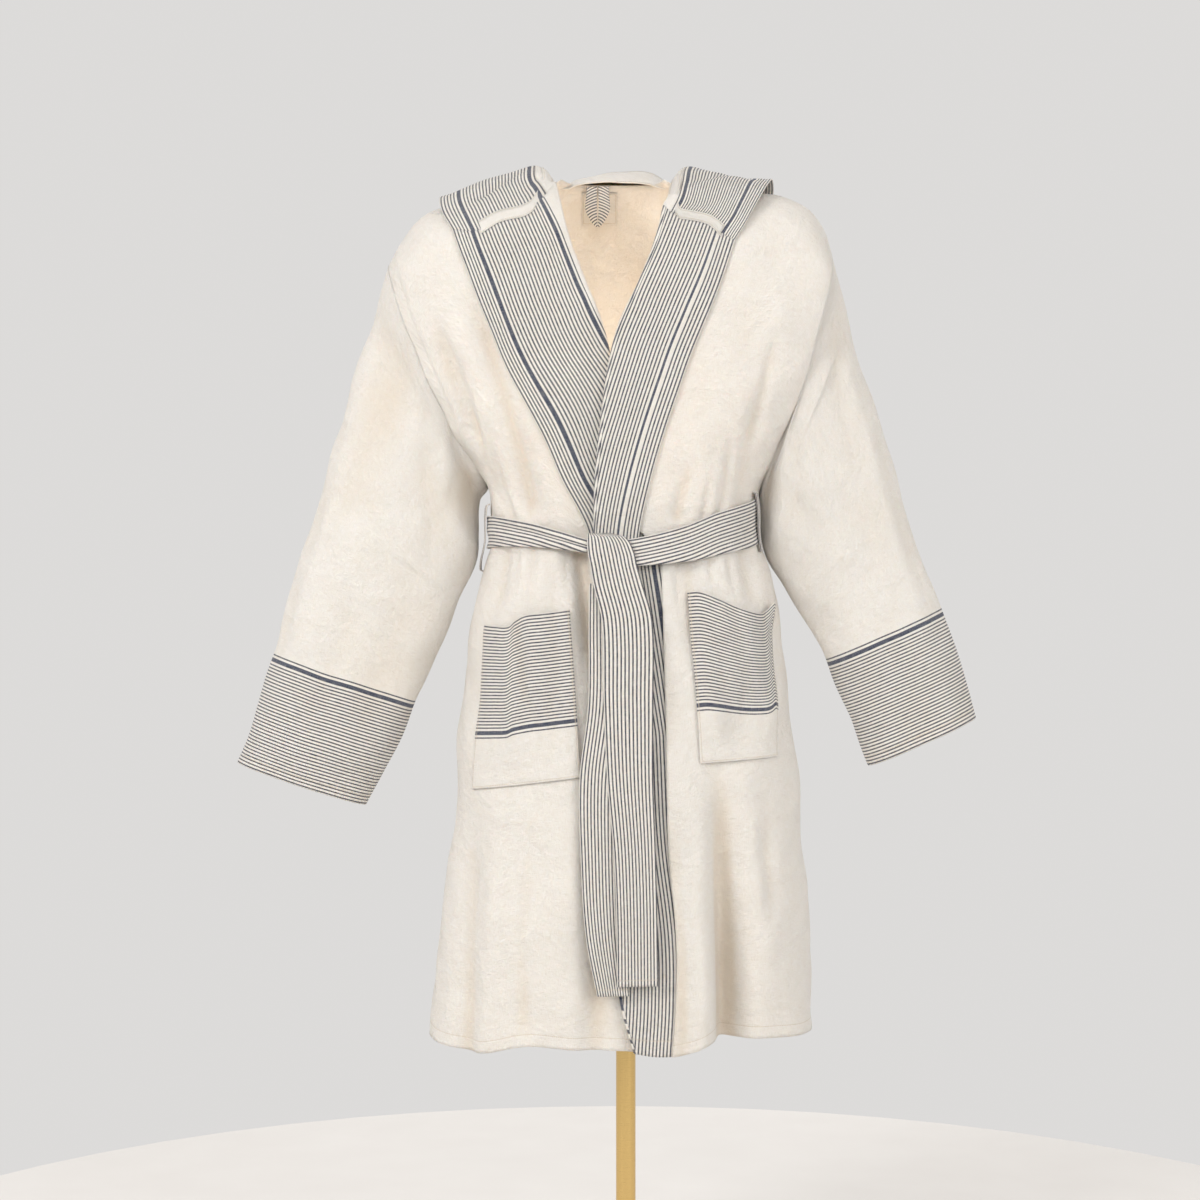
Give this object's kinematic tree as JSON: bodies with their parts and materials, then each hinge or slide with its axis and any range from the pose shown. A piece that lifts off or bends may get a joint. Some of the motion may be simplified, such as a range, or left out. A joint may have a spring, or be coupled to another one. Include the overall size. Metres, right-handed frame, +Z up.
{
  "type": "hooded bathrobe on a display stand",
  "caption": "Full-length light cotton robe with a hood lying down the back, navy ticking borders turned out as lapels, patch pockets and a tied belt, hung filled out on a brass stand",
  "frame": {"origin": "centre of the underside of the stand's base, on the floor", "axes": "+Z up; the robe's front faces -Y; +X is the wearer's left, at the right of the picture"},
  "size_m": [0.94, 0.3277, 1.4729],
  "materials": {
    "cream": "matt plain-weave cotton, undyed",
    "striped": "matt cotton with woven navy ticking stripes",
    "brass": "satin",
    "pad": "satin"
  },
  "bodies": {
    "root": {"back": "cream", "front_right": "cream", "front_left": "cream", "sleeve_right": "cream", "sleeve_left": "cream", "hood_right": "cream", "hood_left": "cream", "neck_tape": "cream", "neck_label": "cream", "front_band_right": "striped", "front_band_left": "striped", "skirt_band_right": "striped", "skirt_band_left": "striped", "hood_band_right": "striped", "hood_band_left": "striped", "hanging_loop": "striped", "pocket_right": "striped", "pocket_left": "striped", "belt_loop_right": "striped", "belt_loop_left": "striped", "belt_back": "striped", "belt_front_right": "striped", "belt_front_left": "striped", "belt_knot": "striped", "belt_tail_front": "striped", "belt_tail_back": "striped", "stand_base": "brass", "stand_pole": "brass", "stand_yoke": "brass", "stand_pad_right": "pad", "stand_pad_left": "pad"}
  },
  "joints": []
}
